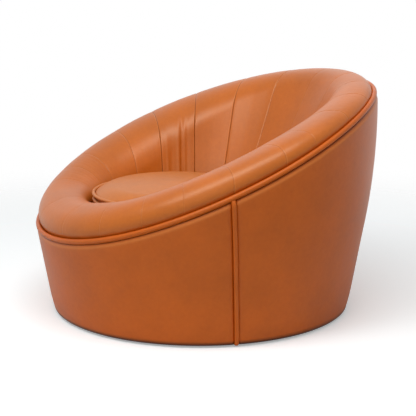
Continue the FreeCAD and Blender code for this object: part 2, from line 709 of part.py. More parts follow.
def rim_angle(share):
    """Angle of the place at a share of the rim line's length."""
    wanted = share % 1.0 * ring_lengths[-1]
    step = max(index for index, length in enumerate(ring_lengths[:-1]) if length <= wanted)
    part = (wanted - ring_lengths[step]) / (ring_lengths[step + 1] - ring_lengths[step])
    return ring_turns[step] + part * (ring_turns[step + 1] - ring_turns[step])


def roll_section(share, puff=0.0, foot_puff=0.0):
    """Centres, radii and angles of the two arcs, and the foot, inward of and above the rim line."""
    angle = rim_angle(share)
    lean = math.sin(angle)
    place = rim_place(angle)
    from_deck = Vector(place.x, place.y, 0) - deck_centre
    inward = Vector(0, mm.seam_aim_shift * ((1 + lean) / 2) ** 2, 0) - from_deck
    inward.normalize()
    beside = from_deck.dot(inward)
    foot_depth = math.sqrt(beside ** 2 - from_deck.dot(from_deck) + mm.wall_foot_radius ** 2)
    reach = foot_puff - beside - foot_depth
    crown_in = between(mm.roll_in_front, mm.roll_in_side, mm.roll_in_back, lean)
    crown_up = between(mm.roll_up_front, mm.roll_up_side, mm.roll_up_back, lean)
    crown_up += mm.roll_up_swing * (lean ** 3 - lean) + puff
    inner = between(mm.roll_inner_radius_front, mm.roll_inner_radius_side, mm.roll_inner_radius_back, lean)
    inner += puff
    run = crown_in - mm.roll_start
    rise = crown_up - mm.roll_start
    outer = (run ** 2 + rise ** 2) / (2 * rise)
    outer_centre_up = crown_up - outer
    start = math.atan2(mm.roll_start - outer_centre_up, -run)
    if start < 0:
        start += 2 * math.pi
    foot_up = mm.deck_top_height + mm.wall_foot_gap - place.z
    across = reach - crown_in
    down = foot_up - (crown_up - inner)
    distance = math.hypot(across, down)
    leave = 0.0
    if distance > inner:
        leave = math.atan2(down, across) + math.acos(inner / distance)
    bulge = between(mm.roll_bulge_front, mm.roll_bulge_side, mm.roll_bulge_back, lean)
    return SimpleNamespace(place=place, inward=inward, crown_in=crown_in, outer=outer, bulge=bulge,
                           outer_up=outer_centre_up, start=start, inner=inner, inset=rim_inset(lean),
                           inner_up=crown_up - inner, leave=max(leave, 0.0), reach=reach, foot_up=foot_up)


def section_place(section, across, up):
    return section.place + section.inward * across + Vector(0, 0, up)


def on_arc(section, centre_up, radius, turn):
    across = section.crown_in + radius * math.cos(turn)
    return section_place(section, across, centre_up + radius * math.sin(turn))


def outer_curve(section, depth):
    """The side of the roll from the piping to the crown, fullest at a third of the way."""
    fullest = 1 / 3
    full_height = fullest * (1 - fullest) ** 2
    places = []
    for step in range(OUTER_STEPS + 1):
        part = step / OUTER_STEPS
        swell = section.bulge * part * (1 - part) ** 2 / full_height
        turn = section.start + (math.pi / 2 - section.start) * part
        places.append(on_arc(section, section.outer_up, section.outer - depth + swell, turn))
    curve = Part.BSplineCurve()
    curve.interpolate(places)
    return curve.toShape()


def skin_edges(section, depth):
    """Outer side, inner arc and straight wall, at a depth under the leather; ends at the deck."""
    radius = section.inner - depth
    turns = (math.pi / 2, (math.pi / 2 + section.leave) / 2, section.leave)
    places = [on_arc(section, section.inner_up, radius, turn) for turn in turns]
    foot = section_place(section, section.reach - depth / math.cos(section.leave), section.foot_up)
    wall = Part.LineSegment(places[-1], foot)
    return [outer_curve(section, depth), Part.Arc(*places).toShape(), wall.toShape()]


def gore_wire(share, puff, foot_puff):
    """Outline of a gore: the leather side with its puff, and the side that lies on the foam."""
    top = skin_edges(roll_section(share, puff, foot_puff), 0.0)
    under = skin_edges(roll_section(share), mm.gore_thickness)
    at_piping = Part.LineSegment(top[0].firstVertex().Point, under[0].firstVertex().Point)
    at_deck = Part.LineSegment(top[-1].lastVertex().Point, under[-1].lastVertex().Point)
    return Part.Wire(top + [at_deck.toShape()] + under[::-1] + [at_piping.toShape()])


def under_rim(place, drop):
    """The place above or below another, on the curve that runs under the rim line."""
    step = mm.rim_piping_radius
    slope = (rim_height_at(place.y + step) - rim_height_at(place.y - step)) / (2 * step)
    return Vector(place.x, place.y, rim_height_at(place.y) - drop * math.hypot(1, slope))


def foam_wire(share):
    """Outline of the foam between the gores, the rim rail and the deck board."""
    section = roll_section(share)
    top = skin_edges(section, mm.gore_thickness + mm.foam_gap)
    start = top[0].firstVertex().Point
    foot = top[-1].lastVertex().Point
    board_in = wall_build_up - section.inset + mm.foam_rail_gap
    rail_in = board_in + mm.rib_depth
    by_rail = section_place(section, rail_in, 0)
    by_board = section_place(section, board_in, 0)
    corners = [
        foot,
        foot - section.inward * mm.foam_foot_thickness,
        under_rim(by_rail, rail_bottom_drop),
        under_rim(by_rail, mm.rail_drop - mm.foam_gap),
        under_rim(by_board, mm.rail_drop - mm.foam_gap),
        start,
    ]
    back = [Part.LineSegment(one, two).toShape() for one, two in zip(corners, corners[1:])]
    return Part.Wire(top + back)


seam_ends = SEAM_SHARES[1:] + (1.0 + SEAM_SHARES[0],)
for number, (first, last) in enumerate(zip(SEAM_SHARES, seam_ends)):
    middle = (first + last) / 2
    wires = [gore_wire(first, 0.0, 0.0), gore_wire(middle, mm.gore_puff, mm.gore_foot_puff),
             gore_wire(last, 0.0, 0.0)]
    node(shaped("gore_%02d" % (number + 1), Part.makeLoft(wires, True, False)))

back_seam = min(SEAM_SHARES, key=lambda share: abs(share - 0.5))
back_number = SEAM_SHARES.index(back_seam)
halves = (("right", SEAM_SHARES[:back_number + 1]), ("left", SEAM_SHARES[back_number:] + seam_ends[-1:]))
for word, seams in halves:
    shares = [seams[0]]
    for first, last in zip(seams, seams[1:]):
        shares += [(first + last) / 2, last]
    node(shaped("roll_foam_" + word, Part.makeLoft([foam_wire(share) for share in shares], True, False)))

# Loose cushion: foam core, top panel, boxing, bottom panel and two pipings

cushion_bottom = (mm.deck_top_height + 2 * mm.strap_thickness + 2 * mm.layer_gap + mm.deck_pad_thickness
                  + mm.cushion_gap)
seam_height = cushion_bottom + mm.cushion_side_height
side_radius = mm.cushion_seam_radius - mm.cushion_piping_radius - mm.cushion_skin_gap
panel_low = seam_height + mm.cushion_piping_radius / 2
band_low = seam_height - mm.cushion_piping_spacing - mm.cushion_piping_radius
crown_top = seam_height + mm.cushion_crown


def crown_edges(drop, end_radius):
    """The crowned top from the middle out to an end radius, lowered by a drop."""
    top = Vector(0, 0, crown_top - drop)
    shoulder = Vector(mm.cushion_shoulder_radius, 0, crown_top - mm.cushion_shoulder_drop - drop)
    chord = shoulder - top
    middle_arc = tangent_arc(top, Vector(1, 0, 0), shoulder)
    turn = 2 * math.atan2(-chord.z, chord.x)
    end = Vector(end_radius, 0, panel_low - drop)
    return [middle_arc, tangent_arc(shoulder, Vector(math.cos(turn), 0, -math.sin(turn)), end)]


def side_edge(radius, low):
    """The side of the cushion under the second piping, drawn in at half its height."""
    half = (band_low - cushion_bottom) / 2
    bend = (half ** 2 + mm.cushion_waist ** 2) / (2 * mm.cushion_waist)
    centre = radius - mm.cushion_waist + bend
    foot = Vector(centre - math.sqrt(bend ** 2 - (low - band_low + half) ** 2), 0, low)
    middle = Vector(radius - mm.cushion_waist, 0, band_low - half)
    return Part.Arc(foot, middle, Vector(radius, 0, band_low)).toShape()


def line(one, two):
    return Part.LineSegment(one, two).toShape()


skin = mm.cushion_cover_thickness
skin_and_gap = skin + mm.cushion_skin_gap
panel_top = crown_edges(0.0, side_radius)
panel_under = crown_edges(skin, side_radius)
panel_outline = panel_top + panel_under + [
    line(Vector(0, 0, crown_top), Vector(0, 0, crown_top - skin)),
    line(Vector(side_radius, 0, panel_low), Vector(side_radius, 0, panel_low - skin)),
]
node(shaped("cushion_top_panel", turned(Part.__sortEdges__(panel_outline), deck_centre)))

boxing_high = panel_low - skin - mm.cushion_skin_gap
boxing_low = cushion_bottom
inside_radius = side_radius - skin
boxing_outline = [
    side_edge(side_radius, boxing_low),
    side_edge(inside_radius, boxing_low),
    line(Vector(side_radius, 0, band_low), Vector(side_radius, 0, boxing_high)),
    line(Vector(inside_radius, 0, band_low), Vector(inside_radius, 0, boxing_high)),
    line(Vector(side_radius, 0, boxing_low), Vector(inside_radius, 0, boxing_low)),
    line(Vector(side_radius, 0, boxing_high), Vector(inside_radius, 0, boxing_high)),
]
node(shaped("cushion_boxing", turned(Part.__sortEdges__(boxing_outline), deck_centre)))

bottom_panel = add("Part::Cylinder", "cushion_bottom_panel", Height="Sizes.cushion_cover_thickness")
bottom_panel.Radius = side_radius - skin_and_gap - mm.cushion_skin_gap * 2
bottom_panel.Placement.Base = deck_centre + Vector(0, 0, cushion_bottom)
node(bottom_panel)

foam_radius = side_radius - skin_and_gap
foam_low = cushion_bottom + skin_and_gap
foam_top = crown_edges(skin_and_gap, foam_radius)
foam_rim = foam_top[-1].lastVertex().Point
foam_foot = side_edge(foam_radius, foam_low).firstVertex().Point
foam_outline = foam_top + [
    side_edge(foam_radius, foam_low),
    line(Vector(foam_radius, 0, band_low), foam_rim),
    line(foam_foot, Vector(0, 0, foam_low)),
    line(Vector(0, 0, foam_low), Vector(0, 0, crown_top - skin_and_gap)),
]
node(shaped("cushion_foam", turned(Part.__sortEdges__(foam_outline), deck_centre)))

for name, ring, tube, height in (
    ("cushion_top_piping", "Sizes.cushion_seam_radius", "Sizes.cushion_piping_radius", seam_height),
    ("cushion_second_piping",
     "Sizes.cushion_seam_radius - Sizes.cushion_piping_radius + Sizes.cushion_second_piping_radius",
     "Sizes.cushion_second_piping_radius", seam_height - mm.cushion_piping_spacing),
):
    cord = add("Part::Torus", name, Radius1=ring, Radius2=tube)
    cord.Placement.Base = deck_centre + Vector(0, 0, height)
    node(cord)

# Checks, then one file for each piece

document.recompute()
for piece in document.Objects:
    if "Invalid" in piece.State or "Error" in piece.State:
        raise RuntimeError("%s failed: %s" % (piece.Label, piece.State))
for piece in nodes:
    if piece.Shape.isNull() or not piece.Shape.isValid():
        raise RuntimeError("%s has no valid shape" % piece.Label)
os.makedirs("parts", exist_ok=True)
for piece in nodes:
    piece.Shape.exportStep("parts/%s.step" % piece.Label)
    box = piece.Shape.BoundBox
    print("%-24s solids %2d volume %10.0f  x %5.0f %5.0f  y %5.0f %5.0f  z %5.0f %5.0f" % (
        piece.Label, len(piece.Shape.Solids), piece.Shape.Volume,
        box.XMin, box.XMax, box.YMin, box.YMax, box.ZMin, box.ZMax))
print(len(nodes), "pieces")
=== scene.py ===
import bmesh
import bpy
import math
from mathutils import Matrix, Vector, noise
from types import SimpleNamespace


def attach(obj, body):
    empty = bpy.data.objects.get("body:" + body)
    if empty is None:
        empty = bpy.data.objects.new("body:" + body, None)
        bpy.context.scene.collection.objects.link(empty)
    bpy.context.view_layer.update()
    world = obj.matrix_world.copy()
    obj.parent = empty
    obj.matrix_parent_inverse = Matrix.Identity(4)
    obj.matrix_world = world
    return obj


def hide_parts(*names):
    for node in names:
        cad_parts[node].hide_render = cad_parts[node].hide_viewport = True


# Leather swivel chair, drawn in metres: +Z is up, the front is -Y, the swivel axis is Z.

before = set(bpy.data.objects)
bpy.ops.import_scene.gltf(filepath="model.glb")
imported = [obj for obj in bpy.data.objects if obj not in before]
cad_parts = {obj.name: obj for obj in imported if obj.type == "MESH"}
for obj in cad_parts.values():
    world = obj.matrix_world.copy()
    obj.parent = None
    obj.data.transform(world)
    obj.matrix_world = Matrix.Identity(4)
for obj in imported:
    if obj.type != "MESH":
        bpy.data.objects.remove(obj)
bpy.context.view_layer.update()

# Studio. A small white floor that fades into a white backdrop, one long lamp overhead and
# weaker ones in front and behind, and the camera at the height of someone sitting opposite.

camera_turn = math.radians(70.112)
camera_climb = math.radians(12.242)
camera_distance = 3.7084
camera_lens = 107.70
aim_height = 0.2908
aim_aside = 0.0226

backward = Vector((
    math.sin(camera_turn) * math.cos(camera_climb),
    -math.cos(camera_turn) * math.cos(camera_climb),
    math.sin(camera_climb),
))
rightward = Vector((math.cos(camera_turn), math.sin(camera_turn), 0))
camera_data = bpy.data.cameras.new("camera")
camera_data.sensor_fit = "HORIZONTAL"
camera_data.sensor_width = 36
camera_data.lens = camera_lens
camera_data.clip_end = 50
camera = bpy.data.objects.new("camera", camera_data)
camera.location = Vector((0, 0, aim_height)) + backward * camera_distance + rightward * aim_aside
camera.rotation_euler = backward.to_track_quat("Z", "Y").to_euler()
bpy.context.scene.collection.objects.link(camera)
bpy.context.scene.camera = camera
bpy.context.scene.view_settings.view_transform = "Standard"


def lamp(name, wide, seam_and_shade_colour, power, place, aim):
    """A soft lamp that faces a point, with its depth as near to the Y axis as that lets it be."""
    data = bpy.data.lights.new(name, "AREA")
    data.shape = "RECTANGLE"
    data.size = wide
    data.size_y = seam_and_shade_colour
    data.energy = power
    light = bpy.data.objects.new(name, data)
    light.location = place
    away = (Vector(place) - Vector(aim)).normalized()
    beside = Vector((0, 1, 0)).cross(away).normalized()
    light.rotation_euler = Matrix((beside, away.cross(beside), away)).transposed().to_euler()
    bpy.context.scene.collection.objects.link(light)


lamp("overhead_lamp", 0.9, 2.9, 56, (0.90, -0.85, 2.75), (0, 0, 0.3))
lamp("front_lamp", 1.6, 1.6, 4.8, (2.9, -1.6, 1.5), (0, 0, 0.3))
lamp("back_lamp", 1.8, 1.8, 3, (-2.2, 1.6, 1.9), (0, 0, 0.4))


def new_node(nodes, kind, **settings):
    """A new node with inputs set by name, where an underscore stands for a space."""
    node = nodes.new("ShaderNode" + kind)
    for name, value in settings.items():
        node.inputs[name.replace("_", " ")].default_value = value
    return node


def greater(nodes, links, one, two):
    """The greater of two values."""
    node = nodes.new("ShaderNodeMath")
    node.operation = "MAXIMUM"
    links.new(one, node.inputs[0])
    links.new(two, node.inputs[1])
    return node.outputs[0]


white = (1, 1, 1, 1)
room_strength = 0.35

world = bpy.data.worlds.new("white_backdrop")
world.use_nodes = True
bpy.context.scene.world = world
nodes, links = world.node_tree.nodes, world.node_tree.links
room_light = nodes["Background"]
room_light.inputs["Color"].default_value = white
room_light.inputs["Strength"].default_value = room_strength
seen_light = new_node(nodes, "Background", Color=white, Strength=1)
path = nodes.new("ShaderNodeLightPath")
seen = greater(nodes, links, path.outputs["Is Camera Ray"], path.outputs["Is Glossy Ray"])
seen = greater(nodes, links, seen, path.outputs["Is Transmission Ray"])
either = nodes.new("ShaderNodeMixShader")
links.new(seen, either.inputs[0])
links.new(room_light.outputs[0], either.inputs[1])
links.new(seen_light.outputs[0], either.inputs[2])
links.new(either.outputs[0], nodes["World Output"].inputs[0])


def new_material(name):
    """A node material: its nodes, its links and its main shader."""
    material = bpy.data.materials.new(name)
    material.use_nodes = True
    nodes = material.node_tree.nodes
    return material, nodes, material.node_tree.links, nodes["Principled BSDF"]


floor_radius = 2.6
floor_colour = (0.82, 0.86, 0.87, 1)
floor_lift = 0.34
fade_start, fade_end = 0.9, 2.4

floor_mesh = bmesh.new()
bmesh.ops.create_circle(floor_mesh, cap_ends=True, radius=floor_radius, segments=96)
floor_data = bpy.data.meshes.new("floor")
floor_mesh.to_mesh(floor_data)
floor_mesh.free()
floor = bpy.data.objects.new("floor", floor_data)
bpy.context.scene.collection.objects.link(floor)
material, nodes, links, shader = new_material("white_floor")
floor_data.materials.append(material)
shader.inputs["Base Color"].default_value = floor_colour
shader.inputs["Roughness"].default_value = 0.9
shader.inputs["Specular IOR Level"].default_value = 0.1
path = nodes.new("ShaderNodeLightPath")
lift = nodes.new("ShaderNodeMath")
lift.operation = "MULTIPLY"
lift.inputs[1].default_value = floor_lift
links.new(path.outputs["Is Camera Ray"], lift.inputs[0])
shader.inputs["Emission Color"].default_value = white
links.new(lift.outputs[0], shader.inputs["Emission Strength"])
place = nodes.new("ShaderNodeTexCoord")
reach = nodes.new("ShaderNodeVectorMath")
reach.operation = "LENGTH"
links.new(place.outputs["Object"], reach.inputs[0])
fade = nodes.new("ShaderNodeMapRange")
fade.interpolation_type = "SMOOTHSTEP"
fade.inputs["From Min"].default_value = fade_start
fade.inputs["From Max"].default_value = fade_end
fade.inputs["To Min"].default_value = 1
fade.inputs["To Max"].default_value = 0
links.new(reach.outputs["Value"], fade.inputs["Value"])
clear = nodes.new("ShaderNodeBsdfTransparent")
faded = nodes.new("ShaderNodeMixShader")
links.new(fade.outputs[0], faded.inputs[0])
links.new(clear.outputs[0], faded.inputs[1])
links.new(shader.outputs[0], faded.inputs[2])
links.new(faded.outputs[0], nodes["Material Output"].inputs[0])

# Outer cover: two panels of tan aniline leather over wadding and a bent board. Their top edges
# are drawn in under the rim piping and their lower edges turn in under the board.

base_radius = 0.440
flare = 0.177
flare_height = 0.267
barrel_rise = 0.0274
floor_gap = 0.005
lower_edge = 0.008
rim_front, rim_side, rim_back, rim_rake = 0.260, 0.463, 0.656, 0.2465
rim_inset = (0.0067, 0.0092, 0.0097)
rim_settling = (-0.0016, -0.0229, 0.0095, 0.0425, -0.0105, -0.0169)
joint_foot = 0.051
joint_lean = 0.084
joint_room = 0.0045
shoulder_low = 0.024
shoulder_high = 0.0062
shoulder_curve = 2.6
foot_tuck = 0.0045
foot_tuck_height = 0.07
flare_turn = math.atan(flare)
flare_top = base_radius + flare * flare_height
barrel = barrel_rise / (1 - math.cos(flare_turn))
widest = flare_height + barrel * math.sin(flare_turn)


def between(sizes, lean):
    """A size that is given at the front, the sides and the back."""
    front, side, back = sizes
    return side + (back - front) / 2 * lean + ((back + front) / 2 - side) * lean ** 2


def hump(value, middle, width, power=2):
    """1 at the middle and next to nothing past the width; a higher power has a flatter top."""
    return math.exp(-((value - middle) / width) ** power)


def shell_radius(height):
    """Outer radius of the shell: a straight flare, then a barrelled upper part."""
    if height <= flare_height:
        return base_radius + flare * height
    return flare_top + barrel_rise - barrel + math.sqrt(barrel ** 2 - (height - widest) ** 2)


def settled(lean):
    """How far the sewn-on rim line strays above or below the rail's even slant."""
    return sum(part * lean ** power for power, part in enumerate(rim_settling))


def rim_place(angle):
    """Centre of the rim piping at an angle about the swivel axis."""
    lean = math.sin(angle)
    height = rim_side + rim_rake * lean + ((rim_front + rim_back) / 2 - rim_side) * lean ** 2
    height += ((rim_back - rim_front) / 2 - rim_rake) * lean ** 3 + settled(lean)
    radius = shell_radius(height) - between(rim_inset, lean)
    return Vector((radius * math.cos(angle), radius * lean, height))


def rim_tilt(angle):
    """Upright distance for each unit of distance square to the rim line."""
    one = rim_place(angle - 0.01)
    two = rim_place(angle + 0.01)
    return math.hypot(1, (two.z - one.z) / math.hypot(two.x - one.x, two.y - one.y))


def shoulder_draw(below, inset):
    """How far the leather is drawn in at a distance below the rim line."""
    part = min(max((shoulder_low - below) / (shoulder_low - shoulder_high), 0), 1)
    return inset * part ** shoulder_curve


def foot_draw(height):
    """How far the leather is drawn in just above the floor, where it is pulled under the board."""
    return foot_tuck * max(1 - height / foot_tuck_height, 0) ** 2


def mapped_sheet(columns, rows, where):
    """A grid whose corners are laid where a function of two shares puts them."""
    mesh = bmesh.new()
    bmesh.ops.create_grid(mesh, x_segments=columns, y_segments=rows, size=0.5)
    for corner in mesh.verts:
        corner.co = where(corner.co.x + 0.5, corner.co.y + 0.5)
    return mesh


def finished(name, mesh, material, body, slot, *stands_for):
    """Turns a mesh into a smooth piece that rides on a body and stands for the plain solids."""
    bmesh.ops.remove_doubles(mesh, verts=mesh.verts, dist=0.00002)
    bmesh.ops.recalc_face_normals(mesh, faces=mesh.faces)
    for face in mesh.faces:
        face.smooth = True
    data = bpy.data.meshes.new(name)
    mesh.to_mesh(data)
    mesh.free()
    data.materials.append(material)
    piece = bpy.data.objects.new(name, data)
    bpy.context.scene.collection.objects.link(piece)
    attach(piece, body)
    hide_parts(*stands_for)
    return piece


def two_tones(nodes, links, pattern, dark, pale, start=0.0, end=1.0):
    """A pattern turned into colours that run from a dark one to a pale one."""
    ramp = nodes.new("ShaderNodeValToRGB")
    for stop, colour, position in zip(ramp.color_ramp.elements, (dark, pale), (start, end)):
        stop.position = position
        stop.color = (*colour, 1)
    links.new(pattern, ramp.inputs["Fac"])
    return ramp.outputs["Color"]


def marked(nodes, links, mark, under, over):
    """A colour that gives way to another where the piece carries a mark."""
    share = nodes.new("ShaderNodeAttribute")
    share.attribute_name = mark
    mix = nodes.new("ShaderNodeMix")
    mix.data_type = "RGBA"
    mix.inputs["B"].default_value = (*over, 1)
    links.new(share.outputs["Fac"], mix.inputs["Factor"])
    links.new(under, mix.inputs["A"])
    return mix.outputs["Result"]


def bumped(nodes, links, pattern, strength, depth, under=None):
    """The surface's direction over a pattern's hollows, on top of another bump if there is one."""
    bump = new_node(nodes, "Bump", Strength=strength, Distance=depth)
    links.new(pattern, bump.inputs["Height"])
    if under:
        links.new(under, bump.inputs["Normal"])
    return bump.outputs["Normal"]


def ranged(nodes, links, pattern, least, most):
    """A pattern turned into a value between two limits."""
    span = new_node(nodes, "MapRange", To_Min=least, To_Max=most)
    links.new(pattern, span.inputs["Value"])
    return span.outputs[0]


def aniline_leather(name, colour, seam_and_shade_colour, highlight_colour, roughness, gloss):
    """Dyed leather: cloudy colour, darkened by its seam lines and painted shade, paled by painted
    highlights, fine grain.
    """
    material, nodes, links, shader = new_material(name)
    place = nodes.new("ShaderNodeTexCoord").outputs["Object"]
    cloud = new_node(nodes, "TexNoise", Scale=7, Detail=5, Roughness=0.6)
    speckle = new_node(nodes, "TexNoise", Scale=90, Detail=4)
    pebbles = nodes.new("ShaderNodeTexVoronoi")
    pebbles.feature = "SMOOTH_F1"
    pebbles.inputs["Scale"].default_value = 520
    pebbles.inputs["Smoothness"].default_value = 0.4
    creases = new_node(nodes, "TexNoise", Scale=38, Detail=6, Roughness=0.62)
    for pattern in (cloud, speckle, pebbles, creases):
        links.new(place, pattern.inputs["Vector"])
    shade = [0.90 * part for part in colour]
    light = [min(1.08 * part, 1) for part in colour]
    fine = nodes.new("ShaderNodeMix")
    fine.data_type = "RGBA"
    fine.blend_type = "SOFT_LIGHT"
    fine.inputs["Factor"].default_value = 0.14
    links.new(two_tones(nodes, links, cloud.outputs["Fac"], shade, light, 0.32, 0.70), fine.inputs["A"])
    links.new(speckle.outputs["Fac"], fine.inputs["B"])
    # Paler toward the third colour where marked: painted highlights.
    with_highlight = marked(nodes, links, "painted_highlight", fine.outputs["Result"], highlight_colour)
    # Darker toward the second colour where marked: the seam's own dark line together with painted shade in
    # grooves, creases and at the hem.
    with_shade = marked(nodes, links, "seam_and_painted_shade", with_highlight, seam_and_shade_colour)
    links.new(with_shade, shader.inputs["Base Color"])
    grain = bumped(nodes, links, pebbles.outputs["Distance"], 0.35, 0.00016)
    creased = bumped(nodes, links, creases.outputs["Fac"], 0.25, 0.0012, grain)
    links.new(creased, shader.inputs["Normal"])
    shine = ranged(nodes, links, cloud.outputs["Fac"], roughness - 0.05, roughness + 0.07)
    links.new(shine, shader.inputs["Roughness"])
    shader.inputs["Specular IOR Level"].default_value = gloss
    shader.inputs["Specular Tint"].default_value = (1, 0.90, 0.70, 1)
    return material


# The cover's hide; its near-black second colour paints the shade in the crease under the piping and the
# shadow at the hem, its pale third colour paints highlights.
leather = aniline_leather("tan_leather", (0.56, 0.108, 0.005), (0.09, 0.016, 0.002), (0.74, 0.30, 0.09),
                          0.38, 0.38)


def joint_angle(height, side):
    """Angle of the side joint at a height, in front of the +X axis or of the -X axis."""
    lean_back = -(joint_foot + joint_lean * height)
    angle = math.asin(lean_back / shell_radius(height))
    return angle if side > 0 else -math.pi - angle


hem_share = 0.08
shoulder_share = 0.7
crease_width = 0.0055
slack = 0.0005
cover_thickness = 0.0014
# Middles and widths of the painted shade under the piping and of the painted highlight on the shoulder, and
# the heights where the painted shadow at the hem begins and is full.
crease_shade_line = (0.0079, 0.0022)
shoulder_highlight_line = (0.0160, 0.0050)
hem_shadow_top, hem_shadow_low = 0.019, 0.010


def cover_place(along, up, first, last, creases):
    """A place on a panel; first and last give the angles of its upright edges at a height."""
    height = 0.3
    for _ in range(6):
        angle = first(height) + (last(height) - first(height)) * along
        rim = rim_place(angle).z
        tilt = rim_tilt(angle)
        foot = floor_gap + lower_edge
        shoulder = rim - shoulder_low * tilt
        if up < shoulder_share:
            height = foot + (shoulder - foot) * max((up - hem_share) / (shoulder_share - hem_share), 0)
        else:
            above = (up - shoulder_share) / (1 - shoulder_share)
            height = shoulder + (shoulder_low - shoulder_high) * tilt * above
    inward = shoulder_draw((rim - height) / tilt, between(rim_inset, math.sin(angle))) + foot_draw(height)
    for edge, crease in zip((first(height), last(height)), creases):
        inward += crease * hump(abs(edge - angle) * shell_radius(height), 0, crease_width)
    inward -= slack * noise.noise(Vector((3 * math.cos(angle), 3 * math.sin(angle), height * 5)))
    radius = shell_radius(height) - inward
    if up < hem_share:
        turn = (1 - up / hem_share) * math.pi / 2
        radius -= lower_edge * (1 - math.cos(turn))
        height -= lower_edge * math.sin(turn)
    return Vector((radius * math.cos(angle), radius * math.sin(angle), height))


def cover_panel(name, first, last, columns, creases):
    """A panel, with painted shade in the crease under the piping, a painted highlight line on the shoulder
    below that and a painted shadow along the lower hem.
    """
    mesh = mapped_sheet(columns, 100, lambda along, up: cover_place(along, up, first, last, creases))
    seam_and_painted_shade = mesh.verts.layers.float.new("seam_and_painted_shade")
    painted_highlight = mesh.verts.layers.float.new("painted_highlight")
    for corner in mesh.verts:
        angle = math.atan2(corner.co.y, corner.co.x)
        below_rim = (rim_place(angle).z - corner.co.z) / rim_tilt(angle)
        # Painted shade in the crease under the rim piping, and a painted shadow over the lowest part of the
        # panel where it turns under above the floor.
        hem_shadow = min(max((hem_shadow_top - corner.co.z) / (hem_shadow_top - hem_shadow_low), 0), 1)
        corner[seam_and_painted_shade] = 0.7 * hump(below_rim, *crease_shade_line) + hem_shadow
        # A painted highlight line along the padded shoulder below the piping.
        corner[painted_highlight] = 0.26 * hump(below_rim, *shoulder_highlight_line)
    bmesh.ops.recalc_face_normals(mesh, faces=mesh.faces)
    middles = [(face.normal, face.calc_center_median()) for face in mesh.faces]
    if sum(normal.x * middle.x + normal.y * middle.y for normal, middle in middles) < 0:
        bmesh.ops.reverse_faces(mesh, faces=mesh.faces)
    bmesh.ops.solidify(mesh, geom=mesh.faces[:], thickness=cover_thickness)
    return finished(name, mesh, leather, "tub", "leather", name)


def right_front(height):
    return joint_angle(height, 1) - joint_room / shell_radius(height)


def left_front(height):
    return joint_angle(height, -1) + joint_room / shell_radius(height)


def right_rear(height):
    return joint_angle(height, 1) + joint_room / shell_radius(height)


def left_rear(height):
    return joint_angle(height, -1) + 2 * math.pi - joint_room / shell_radius(height)


cover_panel("outer_cover_front", left_front, right_front, 170, (0.0036, 0.0036))
cover_panel("outer_cover_rear", right_rear, left_rear, 210, (0.0024, 0.0024))

# Wadding: a layer of grey felt between the outer cover and the bent board. It ends below the
# rim piping and leaves room at the two side joints for the seams.


def soft_filling(name, colour, scale, depth):
    """Foam, felt or lining cloth: a matt colour with a fine cellular or fibrous surface."""
    material, nodes, links, shader = new_material(name)
    cells = new_node(nodes, "TexVoronoi", Scale=scale)
    links.new(nodes.new("ShaderNodeTexCoord").outputs["Object"], cells.inputs["Vector"])
    shade = [0.8 * part for part in colour]
    links.new(two_tones(nodes, links, cells.outputs["Distance"], shade, colour), shader.inputs["Base Color"])
    links.new(bumped(nodes, links, cells.outputs["Distance"], 0.5, depth), shader.inputs["Normal"])
    shader.inputs["Roughness"].default_value = 0.95
    shader.inputs["Specular IOR Level"].default_value = 0.2
    return material


wadding_rows = 40
wadding_steps = 2 * wadding_rows + 2
wadding_outer = 0.0024
wadding_inner = 0.0080
wadding_short = 0.004
wadding_shoulder = 0.0092
seam_room, seam_room_width = 0.004, 0.008


def wadding_place(along, around):
    """The wadding's outline runs up under the leather and down along the board."""
    step = round(around * wadding_steps) % wadding_steps
    outside = step <= wadding_rows
    up = step / wadding_rows if outside else (wadding_steps - 1 - step) / wadding_rows
    angle = -math.pi / 2 + 2 * math.pi * along
    tilt = rim_tilt(angle)
    foot = floor_gap + lower_edge + 0.001
    height = foot + (rim_place(angle).z - (shoulder_low + wadding_short) * tilt - foot) * up
    inset = wadding_inner
    if outside:
        half_turns = [abs(math.sin((angle - joint_angle(height, side)) / 2)) for side in (1, -1)]
        from_joint = min(half_turns) * 2 * shell_radius(height)
        inset = wadding_outer + seam_room * hump(from_joint, 0, seam_room_width)
        inset += shoulder_draw((rim_place(angle).z - height) / tilt, wadding_shoulder) + foot_draw(height)
    radius = shell_radius(height) - inset
    return Vector((radius * math.cos(angle), radius * math.sin(angle), height))


felt = soft_filling("grey_felt", (0.55, 0.54, 0.52), 900, 0.0003)
finished("outer_wadding_layer", mapped_sheet(240, wadding_steps, wadding_place), felt, "tub", "padding",
         "outer_wadding")

# Side piping: cord wrapped in a bias strip of the same leather, which gathers in fine slanting
# folds. It covers the joint of the two panels on each side, and its seam shows as a furrow.

cord_step = 0.0011
cord_sides = 24
fold_pitch = 0.0038
fold_depth = 0.016
fold_change = 0.010
furrow_width = 0.18
plain_highlight = 0.12


